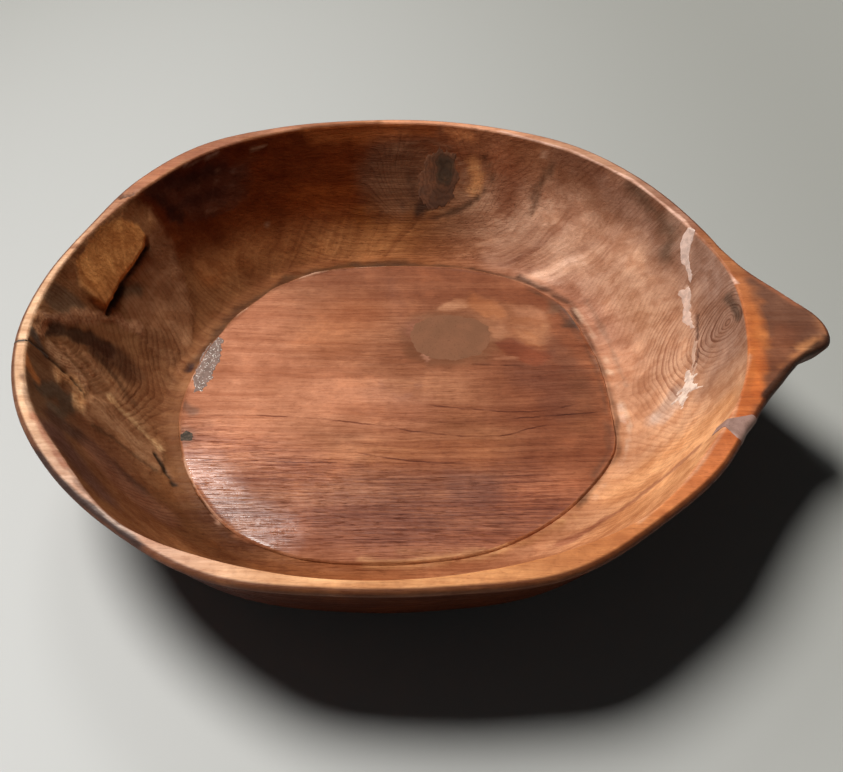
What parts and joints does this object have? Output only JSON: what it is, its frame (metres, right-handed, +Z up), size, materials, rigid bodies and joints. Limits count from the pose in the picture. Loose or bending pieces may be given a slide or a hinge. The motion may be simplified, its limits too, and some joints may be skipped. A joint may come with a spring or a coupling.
{
  "type": "dough bowl",
  "caption": "Round hand-carved wooden dough bowl with a flat floor, flared walls, a pointed handle at the rim, and cast fills in its old cracks.",
  "frame": {"origin": "centre of the flat base face that the bowl stands on", "axes": "+X along the wood's grain towards the pointed handle, +Y across the bowl, +Z up out of the hollow"},
  "size_m": [0.3777, 0.3447, 0.077],
  "materials": {
    "bowl_wood": "hand-carved hardwood, oiled and worn, satin",
    "vein_resin": "milky white cast resin, satin",
    "rim_resin": "lavender-grey cast resin, sanded flush",
    "crack_resin": "dark brown-green resin, sanded flush",
    "glitter_resin": "grey resin with metal flakes, glossy",
    "plug_resin": "dark grey filler, matt",
    "floor_putty": "smooth olive-brown wood filler, matt",
    "knot_wood": "dark dead knot, oiled, satin"
  },
  "bodies": {
    "root": {"bowl_body": "bowl_wood", "vein_fill_top": "vein_resin", "vein_fill_blob": "vein_resin", "vein_fill_thread": "vein_resin", "vein_fill_coral": "vein_resin", "rim_gap_fill": "rim_resin", "rim_crack_fill": "crack_resin", "floor_edge_fill": "glitter_resin", "floor_plug": "plug_resin", "floor_filler": "floor_putty", "back_wall_knot": "knot_wood"}
  },
  "joints": []
}
